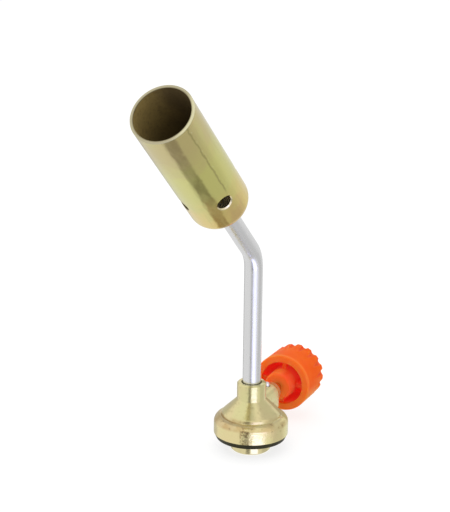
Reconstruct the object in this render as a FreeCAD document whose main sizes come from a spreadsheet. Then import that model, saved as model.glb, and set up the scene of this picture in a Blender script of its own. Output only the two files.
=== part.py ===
import FreeCAD, Part
import math
import os
import re

import Sketcher
from FreeCAD import Placement, Rotation, Vector

# Gas torch head that screws onto a threaded gas cartridge.
# Millimetres.  +Z runs up the neck axis, from the mouth of the threaded collar.
# The burner leans towards -X and the valve knob points along +X.
# Each key of SIZES is an alias in the sheet, and each value is a driving dimension.
SIZES = {
    # fits
    "press_gap": 0.02,  # radial gap of pieces that are pressed, screwed or soldered together
    "running_gap": 0.05,  # radial gap of pieces that turn or slide in each other
    "seal_gap": 0.02,  # play of a rubber ring in its groove
    # threaded insert and what it clamps
    "thread_radius": 5.1,  # wall of the 7/16-28 cartridge thread
    "thread_length": 7.2,
    "collar_radius": 8.7,
    "collar_height": 7.95,  # mouth to the underside of the flange
    "collar_chamfer": 0.6,
    "shank_radius": 7.6,
    "relief_radius": 5.7,
    "seal_rise": 1.65,  # roof of the relief above the underside of the flange
    "web_thickness": 1.4,
    "port_radius": 2.2,
    "seal_thickness": 1.6,
    "pin_radius": 1.0,
    "pin_reach": 0.7,  # tip of the pin below the cartridge seal
    "pin_tip_round": 0.4,
    "pin_head_radius": 4.6,
    "pin_head_thickness": 1.0,
    "pin_port_radius": 0.4,
    "pin_port_circle": 1.6,
    "pin_port_count": 4,
    "filter_thickness": 1.4,
    # gasket under the flange
    "gasket_radius": 16.25,
    "gasket_taper": 1.1,
    "gasket_thickness": 2.25,
    # cast valve body
    "flange_radius": 16.3,
    "flange_height": 8.15,
    "shoulder_round": 3.4,
    "shoulder_drop": 3.38,
    "crease_radius": 12.9,
    "crease_width": 0.5,
    "crease_depth": 0.3,
    "foot_draft": 0.15,  # the flare's foot stands nearly upright in the crease
    "foot_height": 0.8,
    "foot_round": 1.8,
    "foot_inset": 0.75,
    "foot_rise": 1.85,
    "flare_height": 7.4,
    "neck_radius": 6.35,
    "neck_height": 7.51,
    "neck_chamfer": 0.5,
    "recess_radius": 4.5,
    "recess_depth": 1.45,
    "socket_wall": 1.95,  # metal between the valve chamber and the tube's socket
    "outlet_radius": 1.5,
    # valve, along +X from the neck axis
    "valve_rise": 2.7,  # valve axis above the top of the flange
    "orifice_radius": 0.8,
    "seat_place": 2.6,
    "chamber_radius": 2.05,
    "chamber_length": 3.0,
    "inlet_place": 3.8,
    "inlet_radius": 0.7,
    "screw_thread_radius": 2.5,
    "screw_thread_length": 4.8,
    "gland_radius": 3.3,
    "block_half_width": 4.8,
    "block_drop": 5.4,  # valve axis down to the underside of the gland block
    "block_end": 20.4,
    "block_round": 1.3,
    "needle_slope": 0.5,
    "needle_tip_radius": 0.25,
    "needle_radius": 1.15,
    "spindle_thread_length": 3.6,
    "seal_land_start": 11.0,
    "seal_land_length": 2.4,
    "seal_groove_radius": 1.9,
    "seal_groove_width": 1.5,
    "spindle_radius": 2.0,
    "spindle_end": 43.6,
    "flat_height": 1.4,  # distance of the drive flat from the valve axis
    "flat_length": 13.6,
    "bush_shank_length": 5.4,
    "bush_flange_radius": 4.5,
    "bush_flange_length": 2.0,
    "bush_flange_round": 0.5,
    "bush_groove_radius": 2.7,
    "bush_groove_width": 2.2,
    # lock screw of the gland bush
    "lock_place": 16.6,
    "lock_radius": 0.9,
    "lock_seat_radius": 1.6,
    "lock_seat_depth": 1.5,
    "lock_head_radius": 1.28,
    "lock_head_side": 1.9,
    "lock_head_dome": 1.3,
    "lock_slot_width": 0.45,
    "lock_slot_depth": 0.7,
    # knob, along +X from the neck axis
    "hub_start": 28.5,
    "hub_round": 1.0,
    "hub_radius": 6.3,
    "hub_root_radius": 6.9,
    "rim_place": 33.5,
    "rim_round": 0.6,
    "hollow_radius": 10.0,
    "skirt_radius": 13.1,
    "grip_radius": 12.9,
    "knob_end": 52.8,
    "knob_end_round": 1.0,
    "knob_web": 2.4,
    "rib_count": 4,
    "rib_thickness": 1.9,
    "rib_recess": 1.7,
    "rib_phase": 4.0,  # turn of the ribs from the drive flat
    "flute_count": 16,
    "flute_radius": 1.75,
    "flute_depth": 1.4,
    "flute_length": 9.5,
    "flute_taper": 8.0,
    "flute_phase": 16.05,
    "knob_floor": 2.2,  # plastic between the spindle's end and the screw's washer
    "knob_well_radius": 3.3,
    "knob_screw_radius": 1.25,
    "knob_screw_length": 9.0,
    "knob_screw_head_radius": 2.3,
    "knob_screw_head_height": 1.7,
    "knob_screw_cross_width": 0.6,
    "knob_screw_cross_depth": 0.9,
    "knob_washer_radius": 3.0,
    "knob_washer_thickness": 0.5,
    # stem tube
    "tube_radius": 4.0,
    "tube_bore_radius": 2.5,
    "stem_rise": 51.5,  # top of the neck to the start of the bend
    "bend_radius": 13.55,
    "stem_lean": 48.0,
    "stem_reach": 37.3,  # end of the bend to the burner
    "spigot_radius": 3.4,
    "spigot_length": 7.0,
    # burner, along its own axis from the outside of its floor
    "burner_radius": 12.65,
    "burner_wall": 1.15,
    "burner_length": 70.85,
    "burner_floor_round": 5.7,
    "air_hole_radius": 3.1,
    "air_hole_chamfer": 0.5,
    "air_hole_place": 18.85,
    "air_hole_count": 4,
    "air_hole_turn": -36.0,
    "washer_radius": 5.6,
    "washer_thickness": 0.8,
    "nut_across_flats": 10.0,
    "nut_height": 4.0,
    "jet_shank_length": 5.0,
    "jet_across_flats": 6.0,
    "jet_head_height": 3.0,
    "jet_nose_length": 2.6,
    "jet_nose_radius": 1.3,
    "jet_bore_radius": 1.1,
    "jet_orifice_radius": 0.2,
    "jet_orifice_length": 1.2,
    "jet_filter_thickness": 1.4,
    "holder_place": 36.0,
    "holder_disc_thickness": 1.0,
    "holder_rim_height": 5.0,
    "holder_rim_wall": 0.9,
    "holder_centre_radius": 2.6,
    "holder_port_count": 8,
    "holder_port_radius": 1.7,
    "holder_port_circle": 6.8,
}

# Places and sizes that follow from the driving dimensions.
RELIEF_TOP = "(collar_height + seal_rise)"
SEAL_UNDERSIDE = f"({RELIEF_TOP} - seal_thickness)"
INSERT_TOP = f"({RELIEF_TOP} + web_thickness)"
PIN_TOP = f"({INSERT_TOP} + pin_head_thickness)"
FILTER_TOP = f"({PIN_TOP} + filter_thickness)"
FLANGE_TOP = "(collar_height + flange_height)"
FLARE_TOP = f"({FLANGE_TOP} + flare_height)"
NECK_TOP = f"({FLARE_TOP} + neck_height)"
VALVE_AXIS = f"({FLANGE_TOP} + valve_rise)"
SOCKET_FLOOR = f"({VALVE_AXIS} + chamber_radius + socket_wall)"
RECESS_FLOOR = f"({NECK_TOP} - recess_depth)"
THREAD_START = "(seat_place + chamber_length)"
GLAND_START = f"({THREAD_START} + screw_thread_length)"
BUSH_START = "(block_end - bush_shank_length)"
LOCK_SEAT = f"({VALVE_AXIS} + block_half_width - lock_seat_depth)"
LOCK_TIP = f"({VALVE_AXIS} + bush_groove_radius + press_gap)"
LAND_END = "(seal_land_start + seal_land_length)"
GROOVE_START = "(seal_land_start + (seal_land_length - seal_groove_width) / 2)"
WASHER_SEAT = "(spindle_end + knob_floor)"
SCREW_HEAD_SEAT = f"({WASHER_SEAT} + knob_washer_thickness)"
BEND_START = f"({NECK_TOP} + stem_rise)"
BURNER_X = "(-bend_radius * (1 - cos(stem_lean)) - stem_reach * sin(stem_lean))"
BURNER_Z = f"({BEND_START} + bend_radius * sin(stem_lean) + stem_reach * cos(stem_lean))"
BURNER_BORE = "(burner_radius - burner_wall)"
NUT_SEAT = "(burner_wall + washer_thickness)"
JET_SHANK_START = "(spigot_length - jet_shank_length)"
JET_TIP = "(spigot_length + jet_head_height + jet_nose_length)"
HEX_SIDES = 6
HEX_CORNER = 1 / math.cos(math.pi / HEX_SIDES)  # corner radius of a hexagon over its inner radius
FULL_TURN = 360
QUARTER_TURN = 90

doc = FreeCAD.newDocument("GasTorch")
sheet = doc.addObject("Spreadsheet::Sheet", "Sizes")
for row, (alias, number) in enumerate(SIZES.items(), start=1):
    sheet.set(f"A{row}", alias)
    sheet.set(f"B{row}", str(number))
    sheet.setAlias(f"B{row}", alias)
doc.recompute()

parts = []


def linked(text):
    """The expression with each alias written as Sizes.alias."""
    return re.sub(r"[a-z_]+", lambda word: f"Sizes.{word[0]}" if word[0] in SIZES else word[0], str(text))


def value(text):
    """The number that an expression gives."""
    return float(sheet.evalExpression(linked(text)))


def bind(item, **properties):
    """Tie properties to expressions."""
    for name, text in properties.items():
        item.setExpression(name, linked(text))


def place(item, across="0", up="0", tilt=None):
    """Bind an object's place, and its turn about Y where it has one."""
    if tilt is not None:
        item.Placement = Placement(Vector(), Rotation(Vector(0, 1, 0), value(tilt)))
        item.setExpression("Placement.Rotation.Angle", linked(tilt))
    item.setExpression("Placement.Base.x", linked(across))
    item.setExpression("Placement.Base.z", linked(up))
    return item


def on_neck_axis(item):
    """Heights of the piece run up the neck axis from the collar's mouth."""
    parts.append(place(item))


def on_valve_axis(item):
    """Heights of the piece run along +X from the neck axis."""
    parts.append(place(item, up=VALVE_AXIS, tilt=str(QUARTER_TURN)))


def on_burner_axis(item):
    """Heights of the piece run along the burner's axis from the outside of its floor."""
    parts.append(place(item, across=BURNER_X, up=BURNER_Z, tilt="-stem_lean"))


def new_body(name):
    """An empty body with the name of its sub-part."""
    body = doc.addObject("PartDesign::Body", name)
    body.Label = name
    return body


def new_sketch(body, name, plane, lift="0", swing="0", spin="0"):
    """A sketch on an origin plane, lifted off it, and swung about its own Y or spun about its own Z."""
    sketch = body.newObject("Sketcher::SketchObject", name)
    support = next(item for item in body.Origin.OriginFeatures if item.Role == plane)
    sketch.AttachmentSupport = [(support, "")]
    sketch.MapMode = "FlatFace"
    for angle, axis in [(swing, Vector(0, 1, 0)), (spin, Vector(0, 0, 1))]:
        if angle != "0":
            sketch.AttachmentOffset = Placement(Vector(), Rotation(axis, value(angle)))
            sketch.setExpression("AttachmentOffset.Rotation.Angle", linked(angle))
    sketch.setExpression("AttachmentOffset.Base.z", linked(lift))
    return sketch


def hold(sketch, kind, *where, size):
    """Add a constraint and tie its value to an expression."""
    index = sketch.addConstraint(Sketcher.Constraint(kind, *where, value(size)))
    sketch.setExpression(f"Constraints[{index}]", linked(size))


def draw_arc(sketch, start, finish, radius):
    """Add the arc from start to finish, anticlockwise where its radius is positive."""
    chord = finish - start
    side = Vector(-chord.y, chord.x, 0).normalize() * math.copysign(1, radius)
    centre = (start + finish) / 2 + side * math.sqrt(radius ** 2 - chord.Length ** 2 / 4)
    ends = [start, finish] if radius > 0 else [finish, start]
    angles = [math.atan2(end.y - centre.y, end.x - centre.x) for end in ends]
    return sketch.addGeometry(Part.ArcOfCircle(Part.Circle(centre, Vector(0, 0, 1), abs(radius)), *angles))


def draw_outline(sketch, corners):
    """Close an outline through corners (across, up), with a radius where an arc leads to the next one."""
    points = [Vector(value(corner[0]), value(corner[1]), 0) for corner in corners]
    ends = []
    for index, corner in enumerate(corners):
        start = points[index]
        finish = points[(index + 1) % len(points)]
        if len(corner) == 3:
            radius = value(corner[2])
            edge = draw_arc(sketch, start, finish, radius)
            ends.append((edge, 1, 2) if radius > 0 else (edge, 2, 1))
            hold(sketch, "Radius", edge, size=f"abs({corner[2]})")
        else:
            edge = sketch.addGeometry(Part.LineSegment(start, finish))
            ends.append((edge, 1, 2))
    for index, (edge, first, last) in enumerate(ends):
        following = ends[(index + 1) % len(ends)]
        sketch.addConstraint(Sketcher.Constraint("Coincident", edge, last, following[0], following[1]))
        hold(sketch, "DistanceX", -1, 1, edge, first, size=corners[index][0])
        hold(sketch, "DistanceY", -1, 1, edge, first, size=corners[index][1])


def draw_circle(sketch, radius, across="0", up="0"):
    """Add a circle whose centre and radius are tied to expressions."""
    centre = Vector(value(across), value(up), 0)
    edge = sketch.addGeometry(Part.Circle(centre, Vector(0, 0, 1), value(radius)))
    hold(sketch, "Radius", edge, size=radius)
    hold(sketch, "DistanceX", -1, 1, edge, 3, size=across)
    hold(sketch, "DistanceY", -1, 1, edge, 3, size=up)


def draw_box(sketch, left, right, low, high):
    """Add a rectangle."""
    draw_outline(sketch, [(left, low), (right, low), (right, high), (left, high)])


def add_feature(body, kind, sketch, name, **properties):
    """Add a feature that takes a sketch, and bind its sizes."""
    feature = body.newObject(f"PartDesign::{kind}", name)
    feature.Profile = sketch
    bind(feature, **properties)
    return feature


def volume(body):
    """The body's volume after a recompute."""
    doc.recompute()
    return body.Shape.Volume


def pocket(body, sketch, name, reverse=False, **properties):
    """Cut a sketch into the body, and see that it takes material away."""
    before = volume(body)
    feature = add_feature(body, "Pocket", sketch, name, **properties)
    feature.Reversed = reverse
    if volume(body) >= before:
        raise RuntimeError(f"{name} cuts nothing")
    return feature


def turn(body, kind, name, corners):
    """Turn an outline of (radius, height) corners about the body's own Z axis."""
    sketch = new_sketch(body, f"{name}_outline", "XZ_Plane")
    draw_outline(sketch, corners)
    feature = add_feature(body, kind, sketch, name)
    feature.ReferenceAxis = (sketch, ["V_Axis"])
    feature.Angle = FULL_TURN


def groove(body, name, corners):
    """Cut a turned outline away, and see that it takes material away."""
    before = volume(body)
    turn(body, "Groove", name, corners)
    if volume(body) >= before:
        raise RuntimeError(f"{name} cuts nothing")


def turned(name, corners):
    """A body turned about its own Z axis."""
    body = new_body(name)
    turn(body, "Revolution", f"{name}_turn", corners)
    return body


def ring(name, inner, outer, low, high):
    """A plain ring."""
    return turned(name, [(inner, low), (outer, low), (outer, high), (inner, high)])


def repeat(body, feature, name, count):
    """Repeat a feature round the body's own Z axis."""
    pattern = body.newObject("PartDesign::PolarPattern", name)
    pattern.Originals = [feature]
    axis = next(item for item in body.Origin.OriginFeatures if item.Role == "Z_Axis")
    pattern.Axis = (axis, [""])
    pattern.Angle = FULL_TURN
    bind(pattern, Occurrences=count)
    body.Tip = pattern
    doc.recompute()


def primitive(kind, name, across="0", up="0", tilt=None, **sizes):
    """A Part primitive with its sizes and its place bound."""
    item = doc.addObject(f"Part::{kind}", name)
    bind(item, **sizes)
    return place(item, across, up, tilt)


def make_threaded_insert():
    """Collar with the cartridge thread, a relief for the seal and a shank pressed into the body."""
    body = turned("threaded_insert", [
        ("thread_radius", "0"),
        ("collar_radius - collar_chamfer", "0"),
        ("collar_radius", "collar_chamfer"),
        ("collar_radius", "collar_height"),
        ("shank_radius", "collar_height"),
        ("shank_radius", INSERT_TOP),
        ("port_radius", INSERT_TOP),
        ("port_radius", RELIEF_TOP),
        ("relief_radius", RELIEF_TOP),
        ("relief_radius", "thread_length"),
        ("thread_radius", "thread_length"),
    ])
    on_neck_axis(body)


def make_cartridge_seal():
    """Flat rubber ring that the cartridge's valve presses on."""
    rim = "relief_radius - seal_gap"
    on_neck_axis(ring("cartridge_seal", "port_radius", rim, SEAL_UNDERSIDE, RELIEF_TOP))


def make_opening_pin():
    """Pin that opens the cartridge's valve, with gas ports through its head."""
    tip = f"{SEAL_UNDERSIDE} - pin_reach"
    body = turned("opening_pin", [
        ("0", tip),
        ("pin_radius - pin_tip_round", tip, "pin_tip_round * sqrt(2)"),
        ("pin_radius", f"{tip} + pin_tip_round"),
        ("pin_radius", INSERT_TOP),
        ("pin_head_radius", INSERT_TOP),
        ("pin_head_radius", PIN_TOP),
        ("0", PIN_TOP),
    ])
    sketch = new_sketch(body, "pin_port_circle", "XY_Plane", lift=PIN_TOP)
    draw_circle(sketch, "pin_port_radius", across="pin_port_circle")
    port = pocket(body, sketch, "pin_port", Length="pin_head_thickness")
    repeat(body, port, "pin_ports", "pin_port_count")
    on_neck_axis(body)


def make_inlet_filter():
    """Sintered disc above the pin's head."""
    on_neck_axis(turned("inlet_filter", [
        ("0", PIN_TOP),
        ("pin_head_radius", PIN_TOP),
        ("pin_head_radius", FILTER_TOP),
        ("0", FILTER_TOP),
    ]))


def make_cartridge_gasket():
    """Rubber ring round the collar, under the flange."""
    inner = "collar_radius + press_gap"
    on_neck_axis(turned("cartridge_gasket", [
        (inner, "collar_height - gasket_thickness"),
        ("gasket_radius - gasket_taper", "collar_height - gasket_thickness"),
        ("gasket_radius", "collar_height"),
        (inner, "collar_height"),
    ]))


def make_valve_body():
    """Cast body: flange, flare, neck and gland block, with the gas way bored through them."""
    body = turned("valve_body", [
        ("0", "collar_height"),
        ("flange_radius", "collar_height"),
        ("flange_radius", f"{FLANGE_TOP} - shoulder_drop", "shoulder_round"),
        ("crease_radius + crease_width", FLANGE_TOP),
        ("crease_radius", f"{FLANGE_TOP} - crease_depth"),
        ("crease_radius - foot_draft", f"{FLANGE_TOP} + foot_height", "foot_round"),
        ("crease_radius - foot_inset", f"{FLANGE_TOP} + foot_rise"),
        ("neck_radius", FLARE_TOP),
        ("neck_radius", f"{NECK_TOP} - neck_chamfer"),
        ("neck_radius - neck_chamfer", NECK_TOP),
        ("0", NECK_TOP),
    ])
    sketch = new_sketch(body, "block_top_circle", "YZ_Plane")
    draw_circle(sketch, "block_half_width", up=VALVE_AXIS)
    add_feature(body, "Pad", sketch, "block_top", Length="block_end")
    sketch = new_sketch(body, "block_sides_outline", "YZ_Plane")
    draw_box(sketch, "-block_half_width", "block_half_width", f"{VALVE_AXIS} - block_drop", VALVE_AXIS)
    add_feature(body, "Pad", sketch, "block_sides", Length="block_end")
    doc.recompute()
    outer_edges = [
        f"Edge{number}" for number, edge in enumerate(body.Shape.Edges, start=1)
        if abs(edge.BoundBox.XMin - value("block_end")) < Part.Precision.confusion()
    ]
    rounding = body.newObject("PartDesign::Fillet", "block_end_round")
    rounding.Base = (body.getObject("block_sides"), outer_edges)
    bind(rounding, Radius="block_round")
    bore_valve_body(body)
    on_neck_axis(body)


def bore_valve_body(body):
    """Cut the tube socket, the insert's seat, the valve's bores and the lock screw's hole."""
    groove(body, "tube_socket", [
        ("0", f"{VALVE_AXIS} - outlet_radius"),
        ("outlet_radius", f"{VALVE_AXIS} - outlet_radius"),
        ("outlet_radius", SOCKET_FLOOR),
        ("tube_radius + press_gap", SOCKET_FLOOR),
        ("tube_radius + press_gap", RECESS_FLOOR),
        ("recess_radius", RECESS_FLOOR),
        ("recess_radius", NECK_TOP),
        ("0", NECK_TOP),
    ])
    groove(body, "insert_seat", [
        ("0", "collar_height"),
        ("shank_radius + press_gap", "collar_height"),
        ("shank_radius + press_gap", INSERT_TOP),
        ("pin_head_radius + press_gap", INSERT_TOP),
        ("pin_head_radius + press_gap", FILTER_TOP),
        ("0", FILTER_TOP),
    ])
    bores = [
        ("orifice", "0", "orifice_radius", "seat_place"),
        ("chamber", "seat_place", "chamber_radius", "chamber_length"),
        ("screw_thread", THREAD_START, "screw_thread_radius", "screw_thread_length"),
        ("gland_bore", GLAND_START, "gland_radius", f"block_end - {GLAND_START}"),
    ]
    for name, start, radius, length in bores:
        sketch = new_sketch(body, f"{name}_circle", "YZ_Plane", lift=start)
        draw_circle(sketch, radius, up=VALVE_AXIS)
        pocket(body, sketch, name, reverse=True, Length=length)
    sketch = new_sketch(body, "inlet_circle", "XY_Plane", lift=FILTER_TOP)
    draw_circle(sketch, "inlet_radius", across="inlet_place")
    pocket(body, sketch, "inlet", reverse=True, Length=f"{VALVE_AXIS} - {FILTER_TOP}")
    top = f"{VALVE_AXIS} + block_half_width"
    sketch = new_sketch(body, "lock_seat_circle", "XY_Plane", lift=top)
    draw_circle(sketch, "lock_seat_radius", across="lock_place")
    pocket(body, sketch, "lock_seat", Length="lock_seat_depth")
    sketch = new_sketch(body, "lock_hole_circle", "XY_Plane", lift=top)
    draw_circle(sketch, "lock_radius + press_gap", across="lock_place")
    pocket(body, sketch, "lock_hole", Length="block_half_width")


def make_gland_bush():
    """Flanged bush that closes the gland bore and guides the spindle."""
    bore = "spindle_radius + running_gap"
    shank = "gland_radius - press_gap"
    groove_low = "lock_place - bush_groove_width / 2"
    groove_high = "lock_place + bush_groove_width / 2"
    flange_end = "block_end + bush_flange_length"
    on_valve_axis(turned("gland_bush", [
        (bore, BUSH_START),
        (shank, BUSH_START),
        (shank, groove_low),
        ("bush_groove_radius", groove_low),
        ("bush_groove_radius", groove_high),
        (shank, groove_high),
        (shank, "block_end"),
        ("bush_flange_radius", "block_end"),
        ("bush_flange_radius", f"{flange_end} - bush_flange_round", "bush_flange_round"),
        ("bush_flange_radius - bush_flange_round", flange_end),
        (bore, flange_end),
    ]))


def make_lock_screw():
    """Slotted screw with a tall domed head; its tip stands in the bush's groove."""
    dome_start = f"{LOCK_SEAT} + lock_head_side"
    dome_top = f"{dome_start} + lock_head_dome"
    dome_round = "(lock_head_radius ^ 2 + lock_head_dome ^ 2) / (2 * lock_head_dome)"
    body = turned("lock_screw", [
        ("0", LOCK_TIP),
        ("lock_radius", LOCK_TIP),
        ("lock_radius", LOCK_SEAT),
        ("lock_head_radius", LOCK_SEAT),
        ("lock_head_radius", dome_start, dome_round),
        ("0", dome_top),
    ])
    sketch = new_sketch(body, "lock_slot_outline", "XY_Plane", lift=dome_top)
    draw_box(sketch, "-lock_head_radius", "lock_head_radius", "-lock_slot_width / 2", "lock_slot_width / 2")
    pocket(body, sketch, "lock_slot", Length="lock_slot_depth")
    parts.append(place(body, across="lock_place"))


def make_valve_spindle():
    """Needle, thread, seal land, shaft and flatted end, turned from one bar."""
    seat_radius = "orifice_radius - press_gap"
    tip = f"seat_place - ({seat_radius} - needle_tip_radius) / needle_slope"
    shoulder = f"seat_place + (needle_radius - {seat_radius}) / needle_slope"
    thread = "screw_thread_radius - running_gap"
    thread_start = f"{THREAD_START} + running_gap"
    thread_end = f"{thread_start} + spindle_thread_length"
    land = "gland_radius - running_gap"
    groove_end = f"{GROOVE_START} + seal_groove_width"
    body = turned("valve_spindle", [
        ("0", tip),
        ("needle_tip_radius", tip),
        ("needle_radius", shoulder),
        ("needle_radius", thread_start),
        (thread, thread_start),
        (thread, thread_end),
        ("spindle_radius", thread_end),
        ("spindle_radius", "seal_land_start"),
        (land, "seal_land_start"),
        (land, GROOVE_START),
        ("seal_groove_radius", GROOVE_START),
        ("seal_groove_radius", groove_end),
        (land, groove_end),
        (land, LAND_END),
        ("spindle_radius", LAND_END),
        ("spindle_radius", "spindle_end"),
        ("0", "spindle_end"),
    ])
    sketch = new_sketch(body, "flat_outline", "XY_Plane", lift="spindle_end")
    draw_box(sketch, "flat_height", "spindle_radius", "-spindle_radius", "spindle_radius")
    pocket(body, sketch, "drive_flat", Length="flat_length")
    screw_bore = "knob_screw_radius + press_gap"
    screw_end = f"{SCREW_HEAD_SEAT} - knob_screw_length"
    groove(body, "spindle_screw_hole", [
        ("0", screw_end),
        (screw_bore, screw_end),
        (screw_bore, "spindle_end"),
        ("0", "spindle_end"),
    ])
    on_valve_axis(body)


def make_knob():
    """Hollow knob: fluted grip, smooth skirt, hub on four ribs and a well for its screw."""
    floor = "knob_end - knob_web"
    body = turned("valve_knob", [
        ("0", "hub_start"),
        ("hub_radius - hub_round", "hub_start", "hub_round"),
        ("hub_radius", "hub_start + hub_round"),
        ("hub_root_radius", floor),
        ("hollow_radius", floor),
        ("hollow_radius", "rim_place"),
        ("skirt_radius - rim_round", "rim_place", "rim_round"),
        ("skirt_radius", "rim_place + rim_round"),
        ("grip_radius", "knob_end - knob_end_round"),
        ("grip_radius - knob_end_round", "knob_end"),
        ("0", "knob_end"),
    ])
    sketch = new_sketch(body, "rib_outline", "XY_Plane", lift="rim_place + rib_recess", spin="rib_phase")
    middle_of_skirt = "(hollow_radius + skirt_radius) / 2"
    draw_box(sketch, "hub_radius / 2", middle_of_skirt, "-rib_thickness / 2", "rib_thickness / 2")
    rib = add_feature(body, "Pad", sketch, "rib", Length=f"{floor} - rim_place - rib_recess")
    repeat(body, rib, "ribs", "rib_count")
    sketch = new_sketch(body, "flute_circle", "XY_Plane", lift="knob_end")
    reach = "(grip_radius - flute_depth + flute_radius)"
    across = f"{reach} * cos(flute_phase)"
    draw_circle(sketch, "flute_radius", across=across, up=f"{reach} * sin(flute_phase)")
    flute = pocket(body, sketch, "flute", Length="flute_length", TaperAngle="-flute_taper")
    repeat(body, flute, "flutes", "flute_count")
    groove(body, "knob_screw_way", [
        ("0", "spindle_end"),
        ("knob_screw_radius + running_gap", "spindle_end"),
        ("knob_screw_radius + running_gap", WASHER_SEAT),
        ("knob_well_radius", WASHER_SEAT),
        ("knob_well_radius", "knob_end"),
        ("0", "knob_end"),
    ])
    bore_knob(body)
    on_valve_axis(body)


def bore_knob(body):
    """Cut the hub's bore: round where the shaft is round, with a flat where the shaft has one."""
    bore = "spindle_radius + press_gap"
    round_length = "spindle_end - flat_length - hub_start"
    sketch = new_sketch(body, "shaft_circle", "XY_Plane", lift="hub_start")
    draw_circle(sketch, bore)
    pocket(body, sketch, "shaft_bore", reverse=True, Length=round_length)
    flat = "flat_height + press_gap"
    half_flat = f"sqrt(({bore}) ^ 2 - ({flat}) ^ 2)"
    sketch = new_sketch(body, "drive_outline", "XY_Plane", lift="spindle_end - flat_length")
    draw_outline(sketch, [
        (flat, f"-{half_flat}"),
        (flat, half_flat, bore),
        (f"-({bore})", "0", bore),
    ])
    pocket(body, sketch, "drive_bore", reverse=True, Length="flat_length")


def make_knob_fasteners():
    """Pan-head screw with a cross recess, and the washer under its head."""
    washer_bore = "knob_screw_radius + running_gap"
    on_valve_axis(ring("knob_washer", washer_bore, "knob_washer_radius", WASHER_SEAT, SCREW_HEAD_SEAT))
    head_top = f"{SCREW_HEAD_SEAT} + knob_screw_head_height"
    tip = f"{SCREW_HEAD_SEAT} - knob_screw_length"
    body = turned("knob_screw", [
        ("0", tip),
        ("knob_screw_radius", tip),
        ("knob_screw_radius", SCREW_HEAD_SEAT),
        ("knob_screw_head_radius", SCREW_HEAD_SEAT),
        ("knob_screw_head_radius", f"{head_top} - knob_screw_head_height / 2"),
        ("knob_screw_head_radius / 2", head_top),
        ("0", head_top),
    ])
    arm = "knob_screw_head_radius / 2"
    for name, half_length, half_width in [
        ("cross_one", arm, "knob_screw_cross_width / 2"),
        ("cross_two", "knob_screw_cross_width / 2", arm),
    ]:
        sketch = new_sketch(body, f"{name}_outline", "XY_Plane", lift=head_top)
        draw_box(sketch, f"-{half_length}", half_length, f"-{half_width}", half_width)
        pocket(body, sketch, name, Length="knob_screw_cross_depth")
    on_valve_axis(body)


def make_seals():
    """O-ring in the spindle's groove, and the ring round the foot of the tube."""
    section = "(gland_radius - seal_groove_radius) / 2"
    parts.append(primitive(
        "Torus", "spindle_o_ring", across=f"{GROOVE_START} + seal_groove_width / 2", up=VALVE_AXIS,
        tilt=str(QUARTER_TURN), Radius1=f"seal_groove_radius + {section}", Radius2=f"{section} - seal_gap",
    ))
    section = "(recess_radius - tube_radius) / 2"
    parts.append(primitive(
        "Torus", "stem_seal", up=f"{RECESS_FLOOR} + {section} - seal_gap",
        Radius1=f"tube_radius + {section}", Radius2=f"{section} - seal_gap",
    ))


def tube_run(name, radius, start, end_reach):
    """A round rod along the stem's path: straight, bend and straight."""
    lower = primitive("Cylinder", f"{name}_lower", up=start, Radius=radius, Height=f"{BEND_START} - {start}")
    bend = primitive("Torus", f"{name}_bend", across="-bend_radius", up=BEND_START,
                     Radius1="bend_radius", Radius2=radius, Angle3="stem_lean")
    bend.Placement.Rotation = Rotation(Vector(1, 0, 0), QUARTER_TURN)
    upper = primitive(
        "Cylinder", f"{name}_upper",
        across="-bend_radius * (1 - cos(stem_lean))", up=f"{BEND_START} + bend_radius * sin(stem_lean)",
        tilt="-stem_lean", Radius=radius, Height=end_reach,
    )
    run = doc.addObject("Part::MultiFuse", name)
    run.Shapes = [lower, bend, upper]
    return run


def make_stem_tube():
    """Bent tube from the neck to the burner, with a thinner spigot through the burner's floor."""
    skin = tube_run("tube_skin", "tube_radius", SOCKET_FLOOR, "stem_reach")
    spigot = primitive("Cylinder", "spigot", across=BURNER_X, up=BURNER_Z, tilt="-stem_lean",
                       Radius="spigot_radius", Height="spigot_length")
    outside = doc.addObject("Part::MultiFuse", "tube_outside")
    outside.Shapes = [skin, spigot]
    bore = tube_run("tube_bore", "tube_bore_radius", SOCKET_FLOOR, "stem_reach + spigot_length")
    tube = doc.addObject("Part::Cut", "stem_tube")
    tube.Base = outside
    tube.Tool = bore
    parts.append(place(tube))


def make_burner_shell():
    """Deep drawn cup with a round-edged floor and a ring of chamfered air holes."""
    inner_round = "(burner_floor_round - burner_wall)"
    hole = "spigot_radius + press_gap"
    body = turned("burner_shell", [
        (hole, "0"),
        ("burner_radius - burner_floor_round", "0", "burner_floor_round"),
        ("burner_radius", "burner_floor_round"),
        ("burner_radius", "burner_length"),
        (BURNER_BORE, "burner_length"),
        (BURNER_BORE, f"burner_wall + {inner_round}", f"-{inner_round}"),
        (f"{BURNER_BORE} - {inner_round}", "burner_wall"),
        (hole, "burner_wall"),
    ])
    sketch = new_sketch(body, "air_hole_circle", "XZ_Plane", swing="air_hole_turn")
    draw_circle(sketch, "air_hole_radius", up="air_hole_place")
    hole_cut = pocket(body, sketch, "air_hole", reverse=True, Length="burner_radius + burner_wall")
    repeat(body, hole_cut, "air_holes", "air_hole_count")
    outer_edges = [
        f"Edge{number}" for number, edge in enumerate(body.Shape.Edges, start=1)
        if edge.isClosed() and abs(edge.CenterOfMass.z - value("air_hole_place")) < value("air_hole_radius")
        and edge.CenterOfMass.distanceToLine(Vector(), Vector(0, 0, 1)) > value(BURNER_BORE)
    ]
    chamfer = body.newObject("PartDesign::Chamfer", "air_hole_chamfers")
    chamfer.Base = (body.getObject("air_holes"), outer_edges)
    bind(chamfer, Size="air_hole_chamfer")
    on_burner_axis(body)


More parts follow.
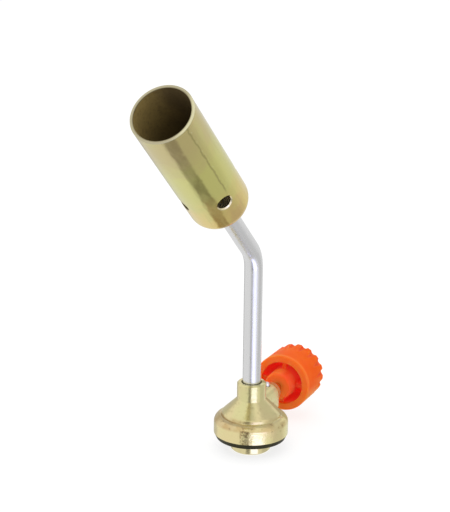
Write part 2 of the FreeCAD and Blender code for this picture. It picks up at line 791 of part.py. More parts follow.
def make_burner_nut():
    """Hexagon nut that clamps the burner's floor against the tube's shoulder, and its washer."""
    bore = "spigot_radius + press_gap"
    on_burner_axis(ring("burner_washer", bore, "washer_radius", "burner_wall", NUT_SEAT))
    blank = primitive("Prism", "nut_blank", up=NUT_SEAT, Polygon=HEX_SIDES,
                      Circumradius=f"nut_across_flats / 2 * {HEX_CORNER}", Height="nut_height")
    hole = primitive("Cylinder", "nut_hole", up=NUT_SEAT, Radius=bore, Height="nut_height")
    nut = doc.addObject("Part::Cut", "burner_nut")
    nut.Base = blank
    nut.Tool = hole
    on_burner_axis(nut)


def make_gas_jet():
    """Jet screwed into the tube's end: hexagon head, tapered nose and a fine orifice."""
    shank = primitive("Cylinder", "jet_shank", up=JET_SHANK_START,
                      Radius="tube_bore_radius - press_gap", Height="jet_shank_length")
    head = primitive("Prism", "jet_head", up="spigot_length", Polygon=HEX_SIDES,
                     Circumradius=f"jet_across_flats / 2 * {HEX_CORNER}", Height="jet_head_height")
    nose = primitive("Cone", "jet_nose", up="spigot_length + jet_head_height",
                     Radius1="jet_across_flats / 2", Radius2="jet_nose_radius", Height="jet_nose_length")
    outside = doc.addObject("Part::MultiFuse", "jet_outside")
    outside.Shapes = [shank, head, nose]
    bore = primitive("Cylinder", "jet_bore", up=JET_SHANK_START, Radius="jet_bore_radius",
                     Height=f"{JET_TIP} - {JET_SHANK_START} - jet_orifice_length")
    orifice = primitive("Cylinder", "jet_orifice", up=f"{JET_TIP} - jet_orifice_length",
                        Radius="jet_orifice_radius", Height="jet_orifice_length")
    inside = doc.addObject("Part::MultiFuse", "jet_inside")
    inside.Shapes = [bore, orifice]
    jet = doc.addObject("Part::Cut", "gas_jet")
    jet.Base = outside
    jet.Tool = inside
    on_burner_axis(jet)


def make_jet_filter():
    """Sintered disc in the tube's end, under the jet."""
    depth = f"({JET_SHANK_START} - jet_filter_thickness)"
    parts.append(primitive(
        "Cylinder", "jet_filter", across=f"{BURNER_X} - {depth} * sin(stem_lean)",
        up=f"{BURNER_Z} + {depth} * cos(stem_lean)", tilt="-stem_lean",
        Radius="tube_bore_radius - press_gap", Height="jet_filter_thickness",
    ))


def make_flame_holder():
    """Pressed cup across the burner's bore, with a centre hole and a ring of ports."""
    wall = f"{BURNER_BORE} - press_gap"
    disc_top = "holder_place + holder_disc_thickness"
    body = turned("flame_holder", [
        ("holder_centre_radius", "holder_place"),
        (wall, "holder_place"),
        (wall, "holder_place + holder_rim_height"),
        (f"{wall} - holder_rim_wall", "holder_place + holder_rim_height"),
        (f"{wall} - holder_rim_wall", disc_top),
        ("holder_centre_radius", disc_top),
    ])
    sketch = new_sketch(body, "holder_port_circle", "XY_Plane", lift=disc_top)
    draw_circle(sketch, "holder_port_radius", across="holder_port_circle")
    port = pocket(body, sketch, "holder_port", Length="holder_disc_thickness")
    repeat(body, port, "holder_ports", "holder_port_count")
    on_burner_axis(body)


make_threaded_insert()
make_cartridge_seal()
make_opening_pin()
make_inlet_filter()
make_cartridge_gasket()
make_valve_body()
make_gland_bush()
make_lock_screw()
make_valve_spindle()
make_knob()
make_knob_fasteners()
make_seals()
make_stem_tube()
make_burner_shell()
make_burner_nut()
make_gas_jet()
make_jet_filter()
make_flame_holder()
doc.recompute()

for item in doc.Objects:
    if "Invalid" in item.State or "Error" in item.State:
        raise RuntimeError(f"{item.Label} failed to build")
for part in parts:
    if part.Shape.isNull() or not part.Shape.isValid() or len(part.Shape.Solids) != 1:
        raise RuntimeError(f"{part.Label} is not one sound solid")

os.makedirs("parts", exist_ok=True)
for part in parts:
    part.Shape.exportStep(os.path.join("parts", f"{part.Label}.step"))
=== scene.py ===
import math

import bpy
from mathutils import Matrix, Vector

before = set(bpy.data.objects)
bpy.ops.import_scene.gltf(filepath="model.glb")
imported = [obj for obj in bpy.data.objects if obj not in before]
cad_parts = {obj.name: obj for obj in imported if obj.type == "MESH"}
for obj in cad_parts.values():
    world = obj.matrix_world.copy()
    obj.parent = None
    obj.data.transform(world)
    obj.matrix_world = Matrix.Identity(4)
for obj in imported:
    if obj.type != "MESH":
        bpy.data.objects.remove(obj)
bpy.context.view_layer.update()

# A small gas torch head. Every CAD piece is kept as it is and gets a procedural material. The rest is
# the studio: world, floor, one lamp and the camera. Lengths are in metres, turns in degrees.
MM = 0.001
SCENE = bpy.context.scene
WHITE = (1, 1, 1)

# The burner's own axis: the centre of its floor, the way to its mouth, and two directions across it.
# A turn round it is 0 at BURNER_SIDE and 90 at BURNER_TOP.
BURNER_FLOOR = Vector((-32.053, 0, 117.396)) * MM
BURNER_AXIS = Vector((-0.74314, 0, 0.66913))
BURNER_SIDE = Vector((0, -1, 0))
BURNER_TOP = Vector((0.66913, 0, 0.74314))
BURNER_BORE = 11.5 * MM  # radius
BURNER_OUTSIDE = 12.65 * MM  # radius
BURNER_MOUTH = 70.85 * MM  # along the axis
HOLE_PLACE = 18.85 * MM  # air holes, along the axis
HOLE_TURN = -36.0  # the first of them
HOLE_STEP = 90.0
LIT_TURN = -152.0  # where painted light in the bore is brightest

# The valve body stands on the origin. A turn round it goes from +X towards +Y.
FLANGE_TOP = 16.1 * MM
TAN_TURN = 138.0
DARK_REFLECTION_TURN = -162.0
ROUGH_TURN = -166.0
DULL_SHADE_TURN = -60.0

# The knob turns round the valve's axis, which runs along +X.
VALVE_AXIS_POINT = Vector((0, 0, 18.8)) * MM
BUSH_END = 22.4 * MM
KNOB_RIM = 33.5 * MM  # open edge of the skirt
KNOB_WALL = 50.4 * MM  # inner side of the closed end
HUB_RADIUS = 6.3 * MM
HOLLOW_RADIUS = 10.0 * MM
GRIP_RADIUS = 12.9 * MM


# ---------------------------------------------------------------- shader graphs

class Graph:
    """Shader nodes by short calls. A plain number or colour may stand wherever a socket may."""

    def __init__(self, tree):
        self.tree = tree
        tree.nodes.clear()

    def node(self, kind, inputs=None, **settings):
        item = self.tree.nodes.new("ShaderNode" + kind)
        for name, setting in settings.items():
            setattr(item, name, setting)
        for key, source in (inputs or {}).items():
            self.feed(item.inputs[key], source)
        return item

    def feed(self, socket, source):
        if isinstance(source, bpy.types.NodeSocket):
            self.tree.links.new(source, socket)
        elif socket.type == "RGBA" and len(source) == 3:
            socket.default_value = (*source, 1)
        else:
            socket.default_value = source

    def math(self, operation, first, second=0.0, third=0.0):
        return self.node("Math", {0: first, 1: second, 2: third}, operation=operation).outputs[0]

    def times(self, first, *others):
        """The product of two or more values."""
        second = self.times(*others) if len(others) > 1 else others[0]
        return self.math("MULTIPLY", first, second)

    def vector(self, operation, first, second=(0, 0, 0)):
        item = self.node("VectorMath", {0: first}, operation=operation)
        if operation not in ("NORMALIZE", "LENGTH"):
            self.feed(item.inputs[1], second)
        return item.outputs["Value" if operation in ("DOT_PRODUCT", "LENGTH") else "Vector"]

    def stretch(self, place, scale):
        return self.vector("MULTIPLY", place, scale)

    def ramp(self, source, low, high, start=0.0, end=1.0):
        """A smooth change from start at low to end at high. High may be the smaller of the two."""
        return self.node("MapRange", {"Value": source, 1: low, 2: high, 3: start, 4: end},
                         interpolation_type="SMOOTHSTEP").outputs[0]

    def band(self, source, middle, half, soft):
        """1 within half of the middle, and 0 from half + soft on."""
        away = self.math("ABSOLUTE", self.math("SUBTRACT", source, middle))
        return self.ramp(away, half, half + soft, 1.0, 0.0)

    def mix(self, factor, first, second, kind="MIX"):
        """From the first colour at 0 to the second at 1."""
        item = self.node("Mix", {0: factor, 6: first, 7: second}, data_type="RGBA", blend_type=kind)
        return item.outputs[2]

    def blend(self, factor, first, second):
        """From the first value at 0 to the second at 1."""
        return self.node("Mix", {0: factor, 2: first, 3: second}, data_type="FLOAT").outputs[0]

    def stain(self, colour, mask, strength, tint, kind="MIX"):
        """Lays a tint over the colour where the mask is 1, as strongly as strength says."""
        return self.mix(self.times(mask, strength), colour, tint, kind)

    def noise(self, place, scale, detail=2.0, rough=0.5, warp=0.0):
        return self.node("TexNoise", {
            "Vector": place, "Scale": scale, "Detail": detail, "Roughness": rough, "Distortion": warp,
        }).outputs["Fac"]

    def bump(self, height, depth, normal=None):
        inputs = {"Height": height, "Distance": depth, "Strength": 1.0}
        if normal is not None:
            inputs["Normal"] = normal
        return self.node("Bump", inputs).outputs[0]


def new_material(name):
    material = bpy.data.materials.new(name)
    material.use_nodes = True
    return material, Graph(material.node_tree)


def surface(name, paint):
    """A material with one Principled shader. paint(graph, place) gives its sockets' sources."""
    material, graph = new_material(name)
    place = graph.node("TexCoord").outputs["Object"]
    shader = graph.node("BsdfPrincipled", paint(graph, place))
    graph.node("OutputMaterial", {0: shader.outputs[0]})
    return material


def burner_place(graph, place):
    """Length along the burner's axis, distance from it, turn round it, and the place in its own frame."""
    local = graph.vector("SUBTRACT", place, tuple(BURNER_FLOOR))
    along = graph.vector("DOT_PRODUCT", local, tuple(BURNER_AXIS))
    across = graph.vector("DOT_PRODUCT", local, tuple(BURNER_SIDE))
    up = graph.vector("DOT_PRODUCT", local, tuple(BURNER_TOP))
    squares = graph.math("ADD", graph.times(across, across), graph.times(up, up))
    turn = graph.math("DEGREES", graph.math("ARCTAN2", up, across))
    own_place = graph.node("CombineXYZ", {0: across, 1: up, 2: along}).outputs[0]
    return along, graph.math("SQRT", squares), turn, own_place


def lit_side(graph, turn):
    """1 where painted light in the burner's bore is brightest, -1 opposite."""
    return graph.math("COSINE", graph.math("RADIANS", graph.math("ADD", turn, -LIT_TURN)))


# ---------------------------------------------------------------- brass

def cast_brass(graph, place):
    """Plated casting: khaki that drifts from cream to tan, tanned and pitted on the flange."""
    away, aside, height = graph.node("SeparateXYZ", {0: place}).outputs
    radius = graph.vector("LENGTH", graph.stretch(place, (1, 1, 0)))
    turn = graph.math("DEGREES", graph.math("ARCTAN2", aside, away))

    # plating
    drift = graph.noise(place, 70, 3, 0.55, 0.6)
    colour = graph.mix(graph.ramp(drift, 0.35, 0.68), (0.80, 0.69, 0.37), (0.77, 0.72, 0.36))
    pink = graph.ramp(graph.noise(place, 45, 2, 0.5, 1.2), 0.52, 0.70)
    colour = graph.stain(colour, pink, 0.45, (0.82, 0.62, 0.38))

    # tanned shoulder, most on one side, which also has a bruise
    shoulder = graph.band(height, 15.4 * MM, 1.3 * MM, 1.5 * MM)
    tanned = graph.times(shoulder, graph.ramp(graph.noise(place, 130, 3, 0.6), 0.32, 0.62))
    tan_side = graph.band(graph.math("WRAP", turn, 360.0, 0.0), TAN_TURN, 28.0, 34.0)
    bruise = graph.times(graph.band(height, 15.0 * MM, 0.9 * MM, 1.4 * MM), tan_side)
    colour = graph.stain(colour, bruise, 0.60, (0.62, 0.46, 0.27))
    colour = graph.stain(colour, tanned, graph.blend(tan_side, 0.60, 0.90), (0.60, 0.42, 0.19))

    # a painted dark reflection up the flare and neck as an olive streak, and a dull edge with painted shade
    olive_reflection = graph.times(graph.band(turn, DARK_REFLECTION_TURN, 2.0, 5.0), graph.ramp(height, 15 * MM, 18 * MM))
    colour = graph.stain(colour, olive_reflection, 0.60, (0.50, 0.44, 0.20))
    # painted shade: dark brown, matt and not metal along one edge of the flare, neck and block
    dull_shade = graph.times(graph.band(turn, DULL_SHADE_TURN, 12.0, 9.0), graph.ramp(height, 13 * MM, 15 * MM))
    colour = graph.stain(colour, dull_shade, 0.85, (0.40, 0.31, 0.14))

    # specks everywhere, and pits down the flange under the streak
    specks = graph.ramp(graph.noise(place, 520, 4, 0.65), 0.56, 0.70)
    colour = graph.stain(colour, specks, graph.blend(shoulder, 0.30, 0.80), (0.40, 0.31, 0.15))
    pits = graph.times(graph.ramp(graph.noise(place, 700, 4, 0.7), 0.48, 0.56),
                       graph.band(turn, ROUGH_TURN, 5.0, 4.0), graph.ramp(height, 16 * MM, 15 * MM))
    colour = graph.stain(colour, pits, 0.75, (0.36, 0.25, 0.11))

    # the crease at the flare's foot: a painted highlight, pale, and darker on the tanned side
    crease_highlight = graph.times(graph.band(height, FLANGE_TOP - 0.2 * MM, 0.25 * MM, 0.15 * MM),
                         graph.band(radius, 13.1 * MM, 0.4 * MM, 0.15 * MM))
    colour = graph.mix(crease_highlight, colour, graph.mix(tan_side, (0.86, 0.80, 0.56), (0.66, 0.55, 0.34)))

    # painted shade in the corner between the flare and the gland block
    shaded_corner = graph.times(graph.band(aside, -9.0 * MM, 3.5 * MM, 0.4 * MM),
                         graph.ramp(away, 1 * MM, 6 * MM),
                         graph.band(height, 18.5 * MM, 4.0 * MM, 1.5 * MM))
    colour = graph.stain(colour, shaded_corner, 0.7, (0.44, 0.36, 0.19))

    # the flange is paler and its skin rougher
    low = graph.ramp(height, 17 * MM, 15 * MM)
    colour = graph.mix(low, colour, (1.08, 1.08, 1.06), "MULTIPLY")
    peel = graph.bump(graph.noise(place, 330, 3, 0.55), graph.blend(low, 0.00007, 0.00017))
    skin = graph.bump(graph.noise(place, 1100, 2, 0.5), 0.00004, peel)
    rough = graph.blend(graph.noise(place, 150, 3), 0.15, 0.27)
    rough = graph.blend(shaded_corner, rough, 0.55)
    rough = graph.blend(dull_shade, rough, 0.60)
    return {"Base Color": colour, "Metallic": graph.blend(dull_shade, 1.0, 0.0), "Roughness": rough,
            "Specular IOR Level": 0.1, "Normal": skin}


def collar_brass(graph, place):
    """The turned collar: plated like the body, with faint turning rings."""
    rings = graph.noise(graph.stretch(place, (80, 80, 2200)), 1.0, 3)
    colour = graph.mix(rings, (0.80, 0.70, 0.40), (0.76, 0.68, 0.36))
    stain = graph.ramp(graph.noise(place, 260, 3, 0.6), 0.55, 0.72)
    colour = graph.stain(colour, stain, 0.4, (0.52, 0.42, 0.20))
    return {"Base Color": colour, "Metallic": 1.0, "Roughness": graph.blend(stain, 0.16, 0.26),
            "Normal": graph.bump(rings, 0.00003)}


def turned_brass(graph, place):
    """Bare brass with fine turning rings."""
    rings = graph.noise(graph.stretch(place, (60, 60, 2600)), 1.0, 3)
    colour = graph.mix(rings, (0.80, 0.60, 0.28), (0.70, 0.50, 0.20))
    return {"Base Color": colour, "Metallic": 1.0, "Roughness": 0.24,
            "Normal": graph.bump(rings, 0.00003)}


def bush_brass(graph, place):
    """Brass of the gland bush: rings left by the tool, with painted shadow at its outer end, in the gap
    before the knob.
    """
    along = graph.node("SeparateXYZ", {0: place}).outputs[0]
    rings = graph.noise(graph.stretch(place, (2600, 60, 60)), 1.0, 3)
    colour = graph.mix(rings, (0.84, 0.62, 0.33), (0.72, 0.50, 0.23))
    # painted shadow of the gap at the bush's outer end
    browned = graph.ramp(along, BUSH_END - 0.8 * MM, BUSH_END - 0.1 * MM)
    colour = graph.stain(colour, browned, 0.8, (0.22, 0.12, 0.045))
    return {"Base Color": colour, "Metallic": 1.0, "Roughness": 0.30,
            "Normal": graph.bump(rings, 0.00003)}


def heated_metal(graph, place):
    """Brass inside the burner, browned by the flame."""
    stain = graph.noise(place, 420, 4, 0.6)
    colour = graph.mix(graph.ramp(stain, 0.35, 0.70), (0.62, 0.52, 0.30), (0.34, 0.27, 0.14))
    return {"Base Color": colour, "Metallic": 0.3, "Roughness": graph.blend(stain, 0.42, 0.62),
            "Normal": graph.bump(stain, 0.00004)}


def burner_brass(graph, place):
    """Deep drawn tube: plated outside with tinted bands and drawing marks, sooted inside; painted light and
    shade on both.
    """
    along, radius, turn, local = burner_place(graph, place)
    drift = graph.math("SUBTRACT", graph.noise(local, 75, 3, 0.6, 0.5), 0.5)
    level = graph.math("ADD", along, graph.times(drift, 26 * MM))

    # plating: gold at the floor, green in the middle, pink and tan towards the mouth
    colour = graph.mix(graph.ramp(level, 8 * MM, 28 * MM), (0.83, 0.66, 0.265), (0.715, 0.69, 0.275))
    colour = graph.mix(graph.ramp(level, 42 * MM, 58 * MM), colour, (0.655, 0.565, 0.285))
    patch = graph.ramp(graph.noise(local, 62, 3, 0.55, 1.4), 0.50, 0.68)
    colour = graph.stain(colour, patch, 0.30, (0.64, 0.67, 0.27))
    # painted shade: darker and yellower on one side of the tube
    side_shade = graph.band(turn, -18.0, 34.0, 26.0)
    colour = graph.stain(colour, side_shade, 0.55, (0.90, 0.88, 0.62), "MULTIPLY")
    strayed = graph.math("ADD", turn, graph.times(drift, 60.0))
    tan = graph.times(graph.ramp(level, 22 * MM, 10 * MM), graph.band(strayed, -24.0, 6.0, 26.0))
    colour = graph.stain(colour, tan, 0.68, (0.66, 0.45, 0.20))

    # a broad ragged olive stripe along the tube: a stain with a painted dark reflection over it
    slow = graph.math("SUBTRACT", graph.noise(graph.stretch(local, (110, 110, 70)), 1.0, 2, 0.5), 0.5)
    fast = graph.math("SUBTRACT", graph.noise(local, 480, 3, 0.6), 0.5)
    sway = graph.math("ADD", graph.times(slow, 12.0), graph.times(fast, 5.0))
    stripe_stain_and_reflection = graph.band(graph.math("ADD", turn, sway), -58.5, 7.0, 5.0)
    olive_reflection = graph.mix(graph.ramp(level, 14 * MM, 34 * MM), (0.49, 0.34, 0.10), (0.34, 0.315, 0.10))
    olive_reflection = graph.mix(graph.ramp(level, 46 * MM, 58 * MM), olive_reflection, (0.43, 0.345, 0.155))
    blotch = graph.ramp(graph.noise(graph.stretch(local, (170, 170, 75)), 1.0, 3, 0.6), 0.36, 0.62)
    colour = graph.stain(colour, stripe_stain_and_reflection, graph.blend(blotch, 0.50, 0.95), olive_reflection)

    # a thin scored line with pale spots beside it, and fine lines all round
    line = graph.math("ADD", turn, graph.times(fast, 7.0))
    scored = graph.times(graph.band(line, -22.5, 0.9, 1.6), graph.ramp(along, 23 * MM, 27 * MM))
    colour = graph.stain(colour, scored, 0.55, (0.34, 0.31, 0.10))
    spot = graph.ramp(graph.noise(local, 900, 2, 0.5), 0.64, 0.72)
    spots = graph.times(graph.band(line, -19.5, 1.2, 1.2), spot)
    colour = graph.stain(colour, spots, 0.7, (0.88, 0.86, 0.52))
    streak = graph.noise(graph.stretch(local, (700, 700, 12)), 1.0, 3, 0.6)
    colour = graph.mix(graph.ramp(streak, 0.50, 0.80, 0.0, 0.25), colour, (0.48, 0.42, 0.17))

    # the cut rim: duller than the wall, with a painted highlight on one side, burnt along its inner edge
    rim = graph.ramp(along, BURNER_MOUTH - 0.15 * MM, BURNER_MOUTH - 0.05 * MM)
    burnt = graph.ramp(radius, BURNER_BORE + 0.55 * MM, BURNER_BORE + 0.05 * MM)
    edge = graph.mix(graph.band(turn, -2.0, 26.0, 34.0), (0.57, 0.52, 0.34), (0.84, 0.79, 0.50))
    edge = graph.stain(edge, burnt, 0.6, (0.22, 0.17, 0.08))
    colour = graph.mix(rim, colour, edge)

    # inside: soot, with painted light brightest on one side and painted shade deepening towards the flame
    # holder; clean metal at the floor
    inside = graph.times(graph.ramp(radius, BURNER_BORE + 0.05 * MM, BURNER_BORE + 0.15 * MM, 1.0, 0.0),
                         graph.math("SUBTRACT", 1.0, rim))
    # painted light, brightest on one side, with the soot's own drift
    thin = graph.math("ADD", lit_side(graph, turn), graph.times(drift, 0.9))
    soot = graph.mix(graph.ramp(thin, -0.45, 0.70), (0.115, 0.082, 0.036), (0.33, 0.238, 0.082))
    grain = graph.noise(local, 700, 3, 0.6)
    soot = graph.mix(graph.ramp(grain, 0.45, 0.75, 0.0, 0.35), soot, (0.08, 0.05, 0.02))
    soot = graph.mix(graph.ramp(along, 60 * MM, 41 * MM, 0.0, 0.5), soot, (0.10, 0.075, 0.033))
    soot = graph.mix(graph.ramp(along, 37 * MM, 35 * MM), soot, (0.20, 0.165, 0.085))
    soot = graph.mix(graph.ramp(along, 15 * MM, 11 * MM), soot, (0.75, 0.66, 0.42))
    colour = graph.mix(inside, colour, soot)

    # air holes: a pale broken edge and painted shade on the hole's wall, which starts nearer the outside in
    # the lowest hole
    swing = graph.math("WRAP", graph.math("ADD", turn, -HOLE_TURN), HOLE_STEP / 2, -HOLE_STEP / 2)
    offset = graph.node("CombineXYZ", {
        0: graph.times(graph.math("RADIANS", swing), BURNER_OUTSIDE),
        1: graph.math("SUBTRACT", along, HOLE_PLACE),
    }).outputs[0]
    from_hole = graph.vector("LENGTH", offset)
    broken = graph.times(graph.ramp(from_hole, 3.75 * MM, 3.60 * MM),
                         graph.ramp(radius, BURNER_OUTSIDE - 0.65 * MM, BURNER_OUTSIDE - 0.55 * MM))
    colour = graph.stain(colour, broken, 0.75, (0.84, 0.74, 0.49))
    lowest = graph.band(turn, HOLE_TURN - HOLE_STEP, 25.0, 2.0)
    dark_radius = graph.blend(lowest, BURNER_OUTSIDE - 0.63 * MM, BURNER_OUTSIDE - 0.15 * MM)
    hole_shade = graph.times(graph.ramp(from_hole, 4.2 * MM, 4.0 * MM),
                       graph.ramp(graph.math("SUBTRACT", radius, dark_radius), 0.1 * MM, 0.0))
    colour = graph.mix(hole_shade, colour, (0.10, 0.08, 0.04))

    # matt and no longer metal inside, with a waved and grained skin
    rough = graph.blend(inside, graph.blend(graph.noise(local, 120, 3), 0.17, 0.27), 0.85)
    rough = graph.blend(rim, rough, 0.38)
    waves = graph.bump(graph.noise(graph.stretch(local, (170, 170, 60)), 1.0, 3, 0.6), 0.00019)
    skin = graph.bump(grain, 0.00002, waves)
    return {"Base Color": colour, "Metallic": graph.math("SUBTRACT", 1.0, inside), "Roughness": rough,
            "Specular IOR Level": 0.08, "Normal": skin}


# ---------------------------------------------------------------- steel, chrome, plastic and rubber

def sooted_steel(graph, place):
    """Steel of the flame holder under matt soot, with painted light brighter on one side."""
    _along, radius, turn, _local = burner_place(graph, place)
    light_shift = graph.times(lit_side(graph, turn), radius)
    soot = graph.noise(place, 420, 4, 0.6)
    brown_with_light = graph.mix(graph.ramp(light_shift, -9 * MM, 9 * MM), (0.08, 0.056, 0.030), (0.30, 0.225, 0.105))
    colour = graph.mix(graph.ramp(soot, 0.35, 0.70, 0.0, 0.25), brown_with_light, (0.085, 0.064, 0.030))
    return {"Base Color": colour, "Roughness": graph.blend(soot, 0.80, 0.95), "Specular IOR Level": 0.15,
            "Normal": graph.bump(soot, 0.00006)}


def bright_chrome(graph, place):
    """Drawn and plated tube: faint lines along it and a thin haze."""
    lines = graph.noise(graph.stretch(place, (1500, 1500, 12)), 1.0, 3, 0.6)
    colour = graph.mix(lines, (0.75, 0.75, 0.75), (0.80, 0.80, 0.80))
    rough = graph.blend(graph.noise(place, 200, 3), 0.22, 0.34)
    return {"Base Color": colour, "Metallic": 1.0, "Roughness": rough,
            "Normal": graph.bump(lines, 0.00001)}


def screw_chrome(graph, place):
    """Bright screw head with fine polishing lines."""
    lines = graph.noise(graph.stretch(place, (400, 2400, 400)), 1.0, 2)
    return {"Base Color": graph.mix(lines, (0.93, 0.91, 0.96), (0.98, 0.96, 0.99)), "Metallic": 1.0,
            "Roughness": 0.36, "Normal": graph.bump(lines, 0.00003)}


def satin_steel(graph, place):
    """Steel with a satin finish and small tints."""
    grain = graph.noise(place, 900, 3, 0.6)
    tint = graph.ramp(graph.noise(place, 90, 2), 0.4, 0.7)
    colour = graph.mix(tint, (0.50, 0.50, 0.50), (0.42, 0.36, 0.28))
    return {"Base Color": colour, "Metallic": 1.0, "Roughness": graph.blend(grain, 0.28, 0.42),
            "Normal": graph.bump(grain, 0.00002)}


def knob_plastic(graph, place):
    """Translucent orange plastic with flow marks and a fine grain; painted light makes it red and glowing in
    the hollow and on the hub.
    """
    local = graph.vector("SUBTRACT", place, tuple(VALVE_AXIS_POINT))
    radius = graph.vector("LENGTH", graph.stretch(local, (0, 1, 1)))
    along, aside, above = graph.node("SeparateXYZ", {0: local}).outputs
    open_side = graph.ramp(along, KNOB_WALL + 1.0 * MM, KNOB_WALL + 0.2 * MM)

    # painted bounce light, yellower towards its low side; pinker on the skirt's open edge
    flow = graph.noise(place, 90, 3, 0.5, 0.8)
    colour = graph.mix(graph.ramp(flow, 0.3, 0.7), (0.95, 0.135, 0.006), (0.93, 0.102, 0.004))
    colour = graph.stain(colour, graph.ramp(above, 2 * MM, -12 * MM), 0.65, (0.98, 0.330, 0.020))
    edge = graph.ramp(along, KNOB_RIM + 2.5 * MM, KNOB_RIM + 0.3 * MM)
    colour = graph.stain(colour, edge, 0.8, (1.0, 0.225, 0.046))

    # the hub's redder face, and a red ring round it
    hub = graph.times(graph.ramp(radius, HUB_RADIUS + 0.2 * MM, HUB_RADIUS - 0.3 * MM), open_side)
    face = graph.times(hub, graph.ramp(above, -7 * MM, 0))
    colour = graph.stain(colour, face, 0.75, (1.0, 0.130, 0.028))
    blush = graph.times(graph.band(radius, 7.4 * MM, 1.0 * MM, 1.8 * MM),
                        graph.ramp(aside, 1 * MM, -4 * MM), open_side)
    colour = graph.stain(colour, blush, 0.75, (1.0, 0.075, 0.030))

    # painted shade on the flutes' floors, then painted red light in the hollow between hub and skirt
    flute_shade = graph.times(graph.ramp(radius, GRIP_RADIUS - 0.15 * MM, GRIP_RADIUS - 0.75 * MM),
                         graph.ramp(radius, GRIP_RADIUS - 1.6 * MM, GRIP_RADIUS - 1.3 * MM),
                         graph.ramp(along, 36 * MM, 42 * MM))
    colour = graph.stain(colour, flute_shade, 0.6, (0.80, 0.075, 0.004))
    hollow_light = graph.times(graph.band(radius, HOLLOW_RADIUS - 1.7 * MM, 1.9 * MM, 0.25 * MM),
                         graph.ramp(along, KNOB_RIM + 0.8 * MM, KNOB_RIM + 3.5 * MM), open_side)
    colour = graph.mix(hollow_light, colour, (1.0, 0.085, 0.042))

    # painted glow on the hub and in the hollow
    glow = graph.mix(hub, (0.0, 0.0, 0.0), (0.10, 0.026, 0.004))
    glow = graph.mix(hollow_light, glow, (0.09, 0.007, 0.004))
    rough = graph.blend(graph.noise(place, 240, 2), 0.40, 0.54)
    return {"Base Color": colour, "Roughness": rough, "Specular IOR Level": 0.08,
            "Specular Tint": (1.0, 0.45, 0.15), "Normal": graph.bump(graph.noise(place, 1600, 2), 0.00002),
            "Subsurface Weight": 1.0, "Subsurface Radius": (1.0, 0.16, 0.05), "Subsurface Scale": 0.008,
            "Emission Color": glow, "Emission Strength": 1.0}


def black_rubber(graph, place):
    """Matt rubber with a moulding bloom."""
    bloom = graph.noise(place, 260, 4, 0.6)
    colour = graph.mix(graph.ramp(bloom, 0.4, 0.75), (0.016, 0.015, 0.005), (0.038, 0.036, 0.014))
    return {"Base Color": colour, "Roughness": graph.blend(bloom, 0.45, 0.62), "Specular IOR Level": 0.22,
            "Specular Tint": (1.0, 0.93, 0.45), "Normal": graph.bump(bloom, 0.00004)}


def shadow_line_seal(graph, place):
    """Seal round the foot of the tube: dark olive-brown as painted shade for the shadow line round the tube.
    """
    bloom = graph.noise(place, 700, 3, 0.6)
    colour = graph.mix(graph.ramp(bloom, 0.35, 0.70), (0.150, 0.135, 0.065), (0.300, 0.270, 0.140))
    return {"Base Color": colour, "Roughness": 0.55, "Normal": graph.bump(bloom, 0.00003)}


def sintered_bronze(graph, place):
    """Filter discs pressed from small bronze grains."""
    cells = graph.node("TexVoronoi", {"Vector": place, "Scale": 3200.0}).outputs["Distance"]
    colour = graph.mix(graph.ramp(cells, 0.1, 0.7), (0.62, 0.40, 0.17), (0.20, 0.12, 0.05))
    return {"Base Color": colour, "Metallic": 1.0, "Roughness": 0.5,
            "Normal": graph.bump(cells, 0.0001)}


FINISHES = {
    cast_brass: ["valve_body"],
    collar_brass: ["threaded_insert"],
    turned_brass: ["opening_pin", "valve_spindle"],
    bush_brass: ["gland_bush"],
    heated_metal: ["burner_nut", "gas_jet", "burner_washer"],
    sooted_steel: ["flame_holder"],
    burner_brass: ["burner_shell"],
    bright_chrome: ["stem_tube"],
    screw_chrome: ["lock_screw"],
    satin_steel: ["knob_washer", "knob_screw"],
    knob_plastic: ["valve_knob"],
    black_rubber: ["cartridge_seal", "cartridge_gasket", "spindle_o_ring"],
    shadow_line_seal: ["stem_seal"],
    sintered_bronze: ["inlet_filter", "jet_filter"],
}
for paint, nodes in FINISHES.items():
    finish = surface(paint.__name__, paint)
    for node in nodes:
        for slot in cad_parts[node].material_slots:
            slot.material = finish


# ---------------------------------------------------------------- studio

FLOOR_HALF = 3.0
FLOOR_DROP = 0.2 * MM  # under the collar's mouth, so that nothing lies in the same plane
FLOOR_GLOW = 0.76  # brings the lit part up to white, so that only the shadow shows
OPEN_LIGHT = 0.90  # the world's strength for matt surfaces
CAMERA_LENS = 114.16
CAMERA_PLACE = Vector((-0.603905, -0.268999, 0.286567))
CAMERA_RIGHT = Vector((0.42683246, -0.90425857, 0.01142345))
CAMERA_AHEAD = Vector((0.86746542, 0.40582993, -0.28776001))


def heading(compass, height):
    """The way to a point of the studio: its compass direction and its height, in degrees."""
    flat, rise = math.radians(compass), math.radians(height)
    return (math.cos(flat) * math.cos(rise), math.sin(flat) * math.cos(rise), math.sin(rise))


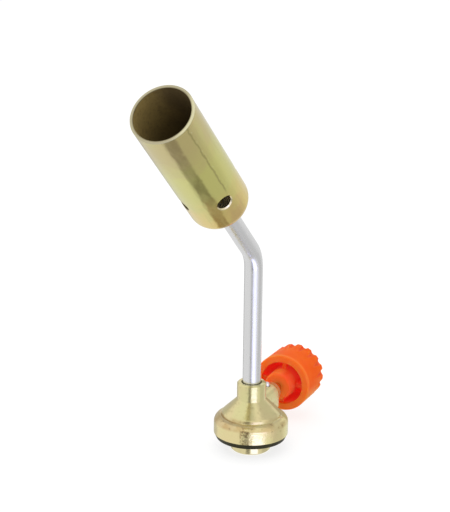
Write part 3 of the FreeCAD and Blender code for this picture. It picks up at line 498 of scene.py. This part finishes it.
def studio_light(graph, way):
    """What polished metal sees: pale walls, a soft box, dark gaps and a dim floor."""
    level = graph.node("SeparateXYZ", {0: way}).outputs[2]
    flat = graph.vector("NORMALIZE", graph.stretch(way, (1, 1, 0)))

    def near(direction, aim, half, soft):
        """1 for directions within half of the aim, 0 beyond half + soft."""
        edge = [math.cos(math.radians(angle)) for angle in (half + soft, half)]
        return graph.ramp(graph.vector("DOT_PRODUCT", direction, aim), *edge)

    # the room, with dimmer walls, corners and patches of ceiling and floor
    light = graph.ramp(level, -0.45, 0.6, 0.86, 0.93)
    light = graph.blend(near(flat, heading(-53, 0), 25, 16), light, 0.645)
    shaded_corner = graph.times(near(flat, heading(-5, 0), 24, 14), graph.band(level, -0.15, 0.25, 0.2))
    light = graph.blend(shaded_corner, light, 0.82)
    light = graph.blend(near(way, heading(25, 60), 26, 16), light, 0.60)
    side = graph.times(near(flat, heading(54, 0), 13, 14), graph.band(level, 0.02, 0.40, 0.14))
    light = graph.blend(side, light, 0.60)
    light = graph.blend(near(way, heading(-155, 68), 4, 8), light, 0.52)
    light = graph.blend(near(way, heading(-30, -74.6), 11, 4), light, 0.55)

    # the soft box and the dark gap beside it, each with a lower part that looks different
    low_part = graph.band(level, -0.25, 0.075, 0.045)
    box = graph.times(near(flat, heading(-133, 0), 19, 4), graph.ramp(level, 0.20, 0.10))
    light = graph.blend(box, light, graph.blend(low_part, 1.7, 1.02))
    gap = graph.times(near(flat, heading(-171, 0), 9, 4), graph.ramp(level, 0.50, 0.25))
    light = graph.blend(gap, light, graph.blend(low_part, 0.28, 0.66))
    tint = graph.mix(box, WHITE, graph.mix(low_part, (0.98, 1.01, 1.62), (1.0, 1.0, 0.93)))
    return tint, light


def build_world():
    """White to the camera, even light on matt surfaces, and the studio in what is mirrored."""
    world = bpy.data.worlds.new("studio_world")
    world.use_nodes = True
    SCENE.world = world
    graph = Graph(world.node_tree)
    path = graph.node("LightPath")
    tint, level = studio_light(graph, graph.node("TexCoord").outputs["Generated"])
    glossy = path.outputs["Is Glossy Ray"]
    shown = graph.math("MAXIMUM", path.outputs["Is Camera Ray"], path.outputs["Is Transmission Ray"])
    strength = graph.blend(shown, graph.blend(glossy, OPEN_LIGHT, level), 1.0)
    background = graph.node("Background", {"Color": graph.mix(glossy, WHITE, tint), "Strength": strength})
    graph.node("OutputWorld", {0: background.outputs[0]})


def build_floor():
    """A pale floor that keeps the shadow. It isn't seen in reflections."""
    corners = [(-1, -1), (1, -1), (1, 1), (-1, 1)]
    mesh = bpy.data.meshes.new("studio_floor")
    mesh.from_pydata([(x * FLOOR_HALF, y * FLOOR_HALF, -FLOOR_DROP) for x, y in corners], [], [(0, 1, 2, 3)])
    floor = bpy.data.objects.new("studio_floor", mesh)
    SCENE.collection.objects.link(floor)
    material, graph = new_material("studio_floor")
    path = graph.node("LightPath")
    plain = graph.node("BsdfDiffuse", {"Color": (0.85, 0.85, 0.85)})
    shaded = graph.node("BsdfDiffuse", {"Color": (0.30, 0.30, 0.30)})
    glow = graph.node("Emission", {"Color": WHITE, "Strength": FLOOR_GLOW})
    pale = graph.node("AddShader", {0: shaded.outputs[0], 1: glow.outputs[0]})
    seen = graph.math("MAXIMUM", path.outputs["Is Camera Ray"], path.outputs["Is Transmission Ray"])
    both = graph.node("MixShader", {0: seen, 1: plain.outputs[0], 2: pale.outputs[0]})
    graph.node("OutputMaterial", {0: both.outputs[0]})
    mesh.materials.append(material)
    floor.visible_glossy = False


def build_lamp(place, aim, size, power):
    """A soft square lamp that isn't seen in reflections."""
    light = bpy.data.lights.new("key", "AREA")
    light.shape = "RECTANGLE"
    light.size = light.size_y = size
    light.energy = power
    lamp = bpy.data.objects.new("key", light)
    lamp.location = place
    lamp.rotation_euler = (Vector(aim) - Vector(place)).to_track_quat("-Z", "Y").to_euler()
    lamp.visible_glossy = False
    SCENE.collection.objects.link(lamp)


def build_camera():
    """The camera stands where the photograph's perspective puts it."""
    camera = bpy.data.objects.new("camera", bpy.data.cameras.new("camera"))
    camera.data.lens = CAMERA_LENS
    camera.data.sensor_width = 36
    turn = Matrix((CAMERA_RIGHT, CAMERA_RIGHT.cross(CAMERA_AHEAD), -CAMERA_AHEAD)).transposed()
    camera.matrix_world = Matrix.Translation(CAMERA_PLACE) @ turn.to_4x4()
    SCENE.collection.objects.link(camera)
    SCENE.camera = camera


build_world()
build_floor()
build_lamp(place=(-0.75, -0.15, 1.05), aim=(0, 0, 0.08), size=0.7, power=3.0)
build_camera()
SCENE.view_settings.view_transform = "Standard"
